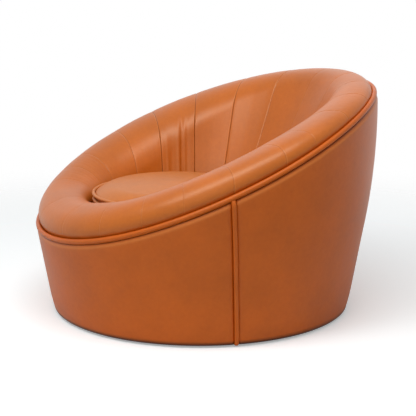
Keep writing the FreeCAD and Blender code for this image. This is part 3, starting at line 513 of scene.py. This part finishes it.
def piping(name, length, route, radius, furrow, material, body, slot, stands_for):
    """A closed cord; its route gives centre, way ahead and way outward at a share of its length."""
    centre, ahead, outward = route
    furrow_depth, furrow_turn = furrow

    def wrapped(along, around):
        way = ahead(along)
        out = outward(along)
        out = (out - way * out.dot(way)).normalized()
        up = way.cross(out)
        turn = around * 2 * math.pi
        here = centre(along)
        wander = noise.noise(here * 45)
        slant = length * along / fold_pitch + around + wander * 0.7
        fold = 1 + (fold_depth + fold_change * wander) * math.sin(2 * math.pi * slant)
        fold += fold_change * wander
        fold -= furrow_depth * hump(math.sin((turn - furrow_turn) / 2), 0, furrow_width)
        return here + (out * math.cos(turn) + up * math.sin(turn)) * radius * fold

    mesh = mapped_sheet(int(length / cord_step), cord_sides, wrapped)
    painted_highlight = mesh.verts.layers.float.new("painted_highlight")
    for corner in mesh.verts:
        # Cords without a furrow, the cushion's, are paled a little all over as painted highlight; the
        # furrowed ones are not.
        corner[painted_highlight] = 0 if furrow_depth else plain_highlight
    bmesh.ops.remove_doubles(mesh, verts=mesh.verts, dist=0.00002)
    bmesh.ops.holes_fill(mesh, edges=[edge for edge in mesh.edges if edge.is_boundary])
    return finished(name, mesh, material, body, slot, stands_for)


side_radius = 0.0062
side_proud = -0.0004
side_shoulder = 0.0080
side_furrow = (0.22, 0)
side_top_height = 0.41
side_top_room = 0.0050
side_low = floor_gap + 0.0025


def joint_place(height, side):
    """Centre of a side piping at a height; it turns in under the board with the panels."""
    low = floor_gap + lower_edge
    drop = min(max(low - height, 0), lower_edge)
    angle = joint_angle(max(height, low), side)
    below = (rim_place(angle).z - height) / rim_tilt(angle)
    radius = shell_radius(height) + side_proud - shoulder_draw(below, side_shoulder) - foot_draw(height)
    radius -= lower_edge - math.sqrt(lower_edge ** 2 - drop ** 2)
    return Vector((radius * math.cos(angle), radius * math.sin(angle), height))


def level_outward(place):
    """The level way outward from the swivel axis at a place."""
    return Vector((place.x, place.y, 0)).normalized()


for side, word in ((1, "right"), (-1, "left")):
    top_angle = joint_angle(side_top_height, side)
    side_length = rim_place(top_angle).z - side_top_room * rim_tilt(top_angle) - side_low

    def centre(share):
        return joint_place(side_low + side_length * share, side)

    def ahead(share):
        return (centre(min(share + 0.01, 1)) - centre(max(share - 0.01, 0))).normalized()

    def outward(share):
        return level_outward(centre(share))

    piping("side_piping_" + word, side_length, (centre, ahead, outward), side_radius, side_furrow,
           leather, "tub", "leather", "side_piping_" + word)

# Rim piping: the same cord, thicker, between the outer cover and the roll. Two lengths meet at
# the middle of the front and of the back.

rim_radius = 0.0076
rim_length = 1.63
rim_furrow_depth = 0.20
rim_furrow_turn = 0.85

for side, word in ((1, "right"), (-1, "left")):

    def centre(share):
        place = rim_place(-math.pi / 2 + math.pi * share)
        place.x *= side
        return place

    def ahead(share):
        one = rim_place(-math.pi / 2 + math.pi * (share - 0.003))
        two = rim_place(-math.pi / 2 + math.pi * (share + 0.003))
        way = (two - one).normalized()
        way.x *= side
        return way

    def outward(share):
        return level_outward(centre(share))

    piping("rim_piping_" + word, rim_length, (centre, ahead, outward), rim_radius,
           (rim_furrow_depth, side * rim_furrow_turn), leather, "tub", "leather", "rim_piping_" + word)

# Roll and inner wall: twenty-one tapered gores of the same leather, each with its own layer of
# padding, sewn side by side. They run from the rim piping over the roll down to the seat deck.

seam_shares = (
    -0.012, 0.046, 0.095, 0.137, 0.175, 0.219, 0.268, 0.3, 0.347, 0.392, 0.437,
    0.48, 0.53, 0.585, 0.64, 0.696, 0.754, 0.804, 0.857, 0.888, 0.92, 0.988,
)
seam_depths = (
    0.2, 0.15, 0.2, 0.2, 0.15, 0.4, 0.4, 0.15, 0.3, 0.03, 0.03,
    0.10, 0.15, 0.4, 0.8, 0.95, 0.9, 0.5, 0.3, 0.2, 0.15, 0.15,
)
roll_in = (0.0766, 0.0613, 0.0399)
roll_up = (0.0807, 0.0617, 0.0297)
roll_swing = 0.0407
roll_inner = (0.040, 0.160, 0.0775)
roll_bulge = (0.0085, 0.0064, 0.0006)
roll_start = 0.006
tuck_in, tuck_down = 0.0105, -0.007
aim_shift = 0.090
deck_centre = Vector((0, -0.084, 0))
deck_top = 0.2163
wall_foot = 0.250
ring_steps = 1440

ring_places = [rim_place(-math.pi / 2 + 2 * math.pi * step / ring_steps) for step in range(ring_steps + 1)]
ring_lengths = [0.0]
for one, two in zip(ring_places, ring_places[1:]):
    ring_lengths.append(ring_lengths[-1] + (two - one).length)


def rim_angle(share):
    """Angle of the place at a share of the rim's length."""
    wanted = (share % 1.0) * ring_lengths[-1]
    low, high = 0, ring_steps
    while high - low > 1:
        middle = (low + high) // 2
        if ring_lengths[middle] <= wanted:
            low = middle
        else:
            high = middle
    part = (wanted - ring_lengths[low]) / (ring_lengths[high] - ring_lengths[low])
    return -math.pi / 2 + 2 * math.pi * (low + part) / ring_steps


def roll_line(share):
    """The leather's line over the roll at a share: an outer round, an inner round and a wall."""
    angle = rim_angle(share)
    lean = math.sin(angle)
    start_place = rim_place(angle)
    from_deck = Vector((start_place.x, start_place.y, 0)) - deck_centre
    inward = (Vector((0, aim_shift * ((1 + lean) / 2) ** 2, 0)) - from_deck).normalized()
    beside = from_deck.dot(inward)
    reach = -beside - math.sqrt(beside ** 2 - from_deck.length_squared + wall_foot ** 2)
    crown_in = between(roll_in, lean)
    crown_up = between(roll_up, lean) + roll_swing * (lean ** 3 - lean) - settled(lean)
    inner = between(roll_inner, lean)
    run = crown_in - roll_start
    rise = crown_up - roll_start
    outer = (run ** 2 + rise ** 2) / (2 * rise)
    foot_up = deck_top - start_place.z
    across = reach - crown_in
    down = foot_up - (crown_up - inner)
    distance = math.hypot(across, down)
    leave = 0.0
    if distance > inner:
        leave = max(math.atan2(down, across) + math.acos(inner / distance), 0)
    return SimpleNamespace(
        place=start_place, inward=inward, crown_in=crown_in,
        outer=outer, outer_up=crown_up - outer, bulge=between(roll_bulge, lean),
        start=math.atan2(roll_start - (crown_up - outer), -run) % (2 * math.pi),
        inner=inner, inner_up=crown_up - inner, leave=leave,
        wall_top=(crown_in + inner * math.cos(leave), crown_up - inner + inner * math.sin(leave)),
        foot=(reach, foot_up),
    )


tuck_end, crown_at, wall_from = 0.04, 0.36, 0.58
line_cache = {}


def leather_place(share, down):
    """Place and outward normal on the smooth leather, down from the piping (0) to the foot (1)."""
    if share not in line_cache:
        line_cache[share] = roll_line(share)
    line = line_cache[share]
    if down < tuck_end:
        part = down / tuck_end
        across = tuck_in * (1 - part) ** 1.5 + roll_start * (1 - (1 - part) ** 1.5)
        up = tuck_down + (roll_start - tuck_down) * part
        turn = line.start
    elif down < crown_at:
        part = (down - tuck_end) / (crown_at - tuck_end)
        turn = line.start + (math.pi / 2 - line.start) * part
        swollen = line.outer + line.bulge * 6.75 * part * (1 - part) ** 2
        across = line.crown_in + swollen * math.cos(turn)
        up = line.outer_up + swollen * math.sin(turn)
    elif down < wall_from:
        turn = math.pi / 2 + (line.leave - math.pi / 2) * (down - crown_at) / (wall_from - crown_at)
        across = line.crown_in + line.inner * math.cos(turn)
        up = line.inner_up + line.inner * math.sin(turn)
    else:
        part = (down - wall_from) / (1 - wall_from)
        across = line.wall_top[0] + (line.foot[0] - line.wall_top[0]) * part
        up = line.wall_top[1] + (line.foot[1] - line.wall_top[1]) * part
        turn = line.leave
    here = line.place + line.inward * across + Vector((0, 0, up))
    return here, line.inward * math.cos(turn) + Vector((0, 0, math.sin(turn)))


def eased(value, low, high):
    """0 below the lower limit and 1 above the upper one, with a soft change between them."""
    part = min(max((value - low) / (high - low), 0), 1)
    return part * part * (3 - 2 * part)


def seam_form(seam_away, depth, on_wall, turned_under):
    """The groove along a seam, the dip about it, and the lip of the side that is turned under."""
    groove = depth * (0.0010 + 0.0008 * on_wall) * hump(seam_away, 0, 0.0013)
    dip = 0.0007 * depth * hump(seam_away, 0, 0.007)
    lip = 0.0004 * hump(seam_away, 0.0030, 0.0014) if turned_under else 0
    return lip - groove - dip


def waves(number, share, down, place, seam_away, on_wall):
    """Small uneven waves: slack hide, puckers at the seams, pleats, gathers and tucks at the rim."""
    slack = 0.0007 * noise.noise(place * 8)
    slack += 0.0005 * on_wall * noise.noise(Vector((share * 60, down * 3, 4)))
    puckers = 0.0005 * hump(seam_away, 0, 0.010)
    puckers *= noise.noise(Vector((down * 75, share * 26, number * 5)))
    pleats = 0.00018 * (1 - on_wall) * eased(down, 0.03, 0.12)
    pleats *= noise.noise(Vector((share * 390, down * 5, number * 3.1)))
    gathers = 0.0004 * hump(down, 0.45, 0.12) * hump(share, 0.85, 0.09)
    gathers *= noise.noise(Vector((share * 330, down * 4, 6)))
    tucks = 0.0004 * (1 - eased(down, 0.04, 0.10))
    tucks *= noise.noise(Vector((share * 300, down * 4, 9)))
    return slack + puckers + pleats + gathers + tucks


gathered_gore = 15
gathered_folds = (
    (0.38, 0.040, -0.0055), (0.48, 0.06, 0.0030), (0.70, 0.05, -0.0010),
    (0.24, 0.06, -0.0014), (0.31, 0.04, 0.0014), (0.83, 0.04, 0.0014),
)


def folds(across, down):
    """The long folds of the gathered gore: middle, width and height of each, across the gore."""
    height = 0
    for middle, width, high in gathered_folds:
        bent = middle + 0.05 * (down - 0.8) + 0.03 * noise.noise(Vector((down * 3, middle * 9, 2)))
        height += high * eased(down, 0.38, 0.66) * hump(across, bent, width)
    return height


def fullness(share, down):
    """How far the padding swells at the low front, first on the roll and then on the wall."""
    from_front = (share + 0.5) % 1 - 0.5
    on_roll = eased(down, 0.24, 0.40) * (1 - eased(down, 0.58, 0.90))
    on_wall = eased(down, 0.38, 0.60) * (1 - eased(down, 0.70, 1.0))
    return (0.010 * hump(from_front, 0.02, 0.075, 4) * on_roll
            + 0.022 * hump(from_front, -0.03, 0.10, 4) * on_wall)


crowned = 0.0006
pressed = 0.0016


def relief(number, share, across, down, place, width):
    """Height of the leather over its smooth shape, how dark the seam line is there, partly its own and
    partly painted shade in the groove, and how much painted highlight it has beside the seam.
    """
    seam_away = min(across, 1 - across) * width
    first_half = across < 0.5
    depth = seam_depths[number if first_half else number + 1]
    on_wall = eased(down, 0.36, 0.56)
    height = crowned * math.sin(math.pi * across) ** 0.7 - pressed * (1 - on_wall)
    height += seam_form(seam_away, depth, on_wall, first_half)
    height += waves(number, share, down, place, seam_away, on_wall)
    if number == gathered_gore:
        height += folds(across, down)
    height += fullness(share, down)
    height *= 1 - eased(down, 0.95, 1.0)
    # A dark line along each seam, partly the seam itself and partly painted shade in its groove, stronger
    # down the wall.
    seam_and_painted_shade = depth * (0.75 + 0.15 * on_wall) * hump(seam_away, 0, 0.0012)
    # A painted highlight on the lip beside each seam, mostly on the side that is turned under.
    painted_highlight = 0.9 * min(depth, 0.5) * hump(seam_away, 0.0022, 0.0010) * (1 if first_half else 0.3)
    return height, seam_and_painted_shade, painted_highlight * (0.8 + 0.8 * noise.noise(place * 30))


slanted_seam = 15
slanted_by = 0.008


def seam_place(number, share, down):
    """Share of the rim's length where a seam is; one seam slants a little."""
    return share - slanted_by * (down - 0.70) if number == slanted_seam else share


gore_columns = 44
gore_rows = 104
gore_depth = 0.0185
cushion_room = 0.2425
room_from = deck_top + 0.012


def sewn_gore(number, first, last):
    """A gore between two seams, marked with its dark seam lines, painted shade and painted highlights, and
    clear of the cushion.
    """
    marks = []

    def gore_place(column, down):
        across = (1 - math.cos(math.pi * round(column * gore_columns) / gore_columns)) / 2
        one, two = seam_place(number, first, down), seam_place(number + 1, last, down)
        share = one + (two - one) * across
        smooth, normal = leather_place(share, down)
        width = (leather_place(two, down)[0] - leather_place(one, down)[0]).length
        height, seam_and_painted_shade, painted_highlight = relief(number, share, across, down, smooth, width)
        marks.append((seam_and_painted_shade, painted_highlight))
        place = smooth + normal * height
        beside = Vector((place.x, place.y, 0)) - deck_centre
        if place.z > room_from and beside.length < cushion_room:
            place += beside.normalized() * (cushion_room - beside.length)
        return place

    mesh = mapped_sheet(gore_columns, gore_rows, gore_place)
    shade_layer = mesh.verts.layers.float.new("seam_and_painted_shade")
    highlight_layer = mesh.verts.layers.float.new("painted_highlight")
    for corner, mark in zip(mesh.verts, marks):
        corner[shade_layer], corner[highlight_layer] = mark
    bmesh.ops.recalc_face_normals(mesh, faces=mesh.faces)
    if sum(face.normal.z * face.calc_area() for face in mesh.faces) < 0:
        bmesh.ops.reverse_faces(mesh, faces=mesh.faces)
    bmesh.ops.solidify(mesh, geom=mesh.faces[:], thickness=gore_depth)
    return mesh


# The roll's copy of the cover's hide, less red and more yellow as painted light on the lit roll.
roll_leather_painted_light = aniline_leather("roll_leather_painted_light", (0.53, 0.124, 0.008), (0.22, 0.042, 0.003),
                               (0.74, 0.30, 0.09), 0.37, 0.54)
for number, (first, last) in enumerate(zip(seam_shares, seam_shares[1:])):
    name = "gore_%02d" % (number + 1)
    gore = finished(name + "_padded", sewn_gore(number, first, last), roll_leather_painted_light, "tub", "leather", name)

# Seat cushion: a round loose cushion of a softer hide, given a paler colour as painted light, over foam,
# with a crowned top, a boxing between two rows of piping, and a lining under it. It lies on the webbed deck.

seam_radius = 0.2300
seam_height = 0.3478
crown = 0.040
shoulder_in = 0.054
shoulder_share_up = 0.65
cushion_foot = 0.2276
foot_round = 0.012
foot_ease = 0.003
waist_in = 0.006
piping_drop = 0.017
top_piping_radius, top_piping_thick = 0.2350, 0.0050
second_piping_radius, second_piping_thick = 0.2345, 0.0044


def cushion_line():
    """Half of the cushion's outline, from the middle of its underside to the middle of its top."""
    outline = [(0.0, cushion_foot), (seam_radius - foot_round, cushion_foot),
               (seam_radius - foot_ease, cushion_foot + foot_ease), (seam_radius, cushion_foot + foot_round)]
    band = seam_height - 0.022
    for step in range(1, 8):
        part = step / 8
        height = cushion_foot + foot_round + (band - cushion_foot - foot_round) * part
        outline.append((seam_radius - waist_in * math.sin(math.pi * part), height))
    outline += [(seam_radius, band), (seam_radius - 0.0006, seam_height - piping_drop),
                (seam_radius, seam_height - 0.009), (seam_radius - 0.0006, seam_height)]
    shoulder = seam_radius - shoulder_in
    shoulder_up = seam_height + shoulder_share_up * crown
    for step in range(1, 13):
        part = step / 12
        outline.append((seam_radius - shoulder_in * part,
                        shoulder_up - (shoulder_up - seam_height) * (1 - part) ** 1.7))
    for step in range(1, 15):
        part = step / 14
        outline.append((shoulder * (1 - part),
                        shoulder_up + (1 - shoulder_share_up) * crown * (1 - (1 - part) ** 2)))
    return outline


def turned(outline):
    """A closed round form over the seat deck, spun from half of its outline."""
    mesh = bmesh.new()
    corners = [mesh.verts.new((radius, 0, height)) for radius, height in outline]
    edges = [mesh.edges.new(pair) for pair in zip(corners, corners[1:])]
    bmesh.ops.spin(mesh, geom=corners + edges, cent=(0, 0, 0), axis=(0, 0, 1), angle=2 * math.pi,
                   steps=120, use_merge=True)
    bmesh.ops.remove_doubles(mesh, verts=mesh.verts, dist=0.0002)
    bmesh.ops.translate(mesh, verts=mesh.verts, vec=deck_centre)
    return mesh


# The cushion's copy of the cover's hide, paler as painted light on its lit top.
seat_leather_painted_light = aniline_leather("seat_leather_painted_light", (0.58, 0.170, 0.030), (0.22, 0.042, 0.003),
                               (0.78, 0.34, 0.14), 0.42, 0.45)
cushion = finished("seat_cushion_padded", turned(cushion_line()), seat_leather_painted_light, "seat_cushion",
                   "cushion_leather", "cushion_foam", "cushion_top_panel", "cushion_boxing",
                   "cushion_bottom_panel")

for name, radius, height, thick in (
    ("cushion_top_piping", top_piping_radius, seam_height, top_piping_thick),
    ("cushion_second_piping", second_piping_radius, seam_height - piping_drop, second_piping_thick),
):
    def centre(share):
        return deck_centre + outward(share) * radius + Vector((0, 0, height))

    def ahead(share):
        turn = 2 * math.pi * share
        return Vector((-math.sin(turn), math.cos(turn), 0))

    def outward(share):
        turn = 2 * math.pi * share
        return Vector((math.cos(turn), math.sin(turn), 0))

    piping(name + "_cord", 2 * math.pi * radius, (centre, ahead, outward), thick, (0, 0),
           seat_leather_painted_light, "seat_cushion", "cushion_leather", name)

# Deck pad: a thin pad on the webbing under a black lining cloth, with a soft turned edge. It
# shows beside the cushion, and whole once the cushion is lifted out.

pad_places = [corner.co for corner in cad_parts["deck_pad"].data.vertices]
pad_edge = max(place.x for place in pad_places)
pad_foot = min(place.z for place in pad_places)
pad_top = max(place.z for place in pad_places)
pad_round = 0.012
pad_side = 0.001
pad_hem = 0.002

outline = [(0.0, pad_foot), (pad_edge - pad_hem, pad_foot)]
for step in range(9):
    turn = math.pi / 2 * step / 8
    outline.append((pad_edge - pad_round * (1 - math.cos(turn)),
                    pad_foot + pad_side + (pad_top - pad_foot - pad_side) * math.sin(turn)))
outline += [((pad_edge - pad_round) * (1 - step / 12), pad_top) for step in range(1, 13)]
lining = soft_filling("black_lining", (0.035, 0.033, 0.031), 1500, 0.0002)
deck_pad = finished("deck_pad_covered", turned(outline), lining, "tub", "lining", "deck_pad")

# Hidden frame: plywood boards and ribs, webbing and foam, the steel ball bearing and the
# plastic glides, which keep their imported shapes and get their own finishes.


def dressed(material, *names):
    """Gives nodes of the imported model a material."""
    for name in names:
        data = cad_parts[name].data
        data.materials.clear()
        data.materials.append(material)


plywood, nodes, links, shader = new_material("birch_plywood")
stretch = new_node(nodes, "Mapping", Scale=(3, 34, 300))
links.new(nodes.new("ShaderNodeTexCoord").outputs["Object"], stretch.inputs["Vector"])
figure = new_node(nodes, "TexNoise", Scale=2.2, Detail=7)
links.new(stretch.outputs[0], figure.inputs["Vector"])
colours = two_tones(nodes, links, figure.outputs["Fac"], (0.42, 0.26, 0.13), (0.66, 0.47, 0.28), 0.35, 0.68)
links.new(colours, shader.inputs["Base Color"])
links.new(bumped(nodes, links, figure.outputs["Fac"], 0.3, 0.0004), shader.inputs["Normal"])
shader.inputs["Roughness"].default_value = 0.7
dressed(plywood, "base_board", "bottom_board", "seat_deck_board", "rim_rail", "outer_shell_board",
        *["rib_%d" % (number + 1) for number in range(6)])

foam = soft_filling("cream_foam", (0.78, 0.72, 0.55), 700, 0.0005)
dressed(foam, "roll_foam_right", "roll_foam_left")
dressed(lining, "dust_cover")

webbing, nodes, links, shader = new_material("jute_webbing")
place = nodes.new("ShaderNodeTexCoord").outputs["Object"]
weave = nodes.new("ShaderNodeMath")
weave.operation = "MULTIPLY"
for number, direction in enumerate("XY"):
    threads = new_node(nodes, "TexWave", Scale=90)
    threads.bands_direction = direction
    links.new(place, threads.inputs["Vector"])
    links.new(threads.outputs["Fac"], weave.inputs[number])
colours = two_tones(nodes, links, weave.outputs[0], (0.09, 0.07, 0.05), (0.24, 0.19, 0.13))
links.new(colours, shader.inputs["Base Color"])
links.new(bumped(nodes, links, weave.outputs[0], 1, 0.0004), shader.inputs["Normal"])
shader.inputs["Roughness"].default_value = 0.9
dressed(webbing, "webbing_straps")

steel, nodes, links, shader = new_material("zinc_plated_steel")
spangle = new_node(nodes, "TexNoise", Scale=120, Detail=5)
links.new(nodes.new("ShaderNodeTexCoord").outputs["Object"], spangle.inputs["Vector"])
colours = two_tones(nodes, links, spangle.outputs["Fac"], (0.50, 0.50, 0.51), (0.68, 0.68, 0.69))
links.new(colours, shader.inputs["Base Color"])
links.new(ranged(nodes, links, spangle.outputs["Fac"], 0.25, 0.42), shader.inputs["Roughness"])
shader.inputs["Metallic"].default_value = 1
dressed(steel, "lower_bearing_plate", "upper_bearing_plate", "bearing_balls", "swivel_pin",
        "swivel_pin_nut", "lower_plate_screws", "upper_plate_screws")

plastic, nodes, links, shader = new_material("black_nylon")
moulded = new_node(nodes, "TexNoise", Scale=400)
links.new(nodes.new("ShaderNodeTexCoord").outputs["Object"], moulded.inputs["Vector"])
colours = two_tones(nodes, links, moulded.outputs["Fac"], (0.022, 0.022, 0.022), (0.040, 0.040, 0.040))
links.new(colours, shader.inputs["Base Color"])
links.new(bumped(nodes, links, moulded.outputs["Fac"], 0.3, 0.0002), shader.inputs["Normal"])
shader.inputs["Roughness"].default_value = 0.5
dressed(plastic, "floor_glides", "ball_cage")
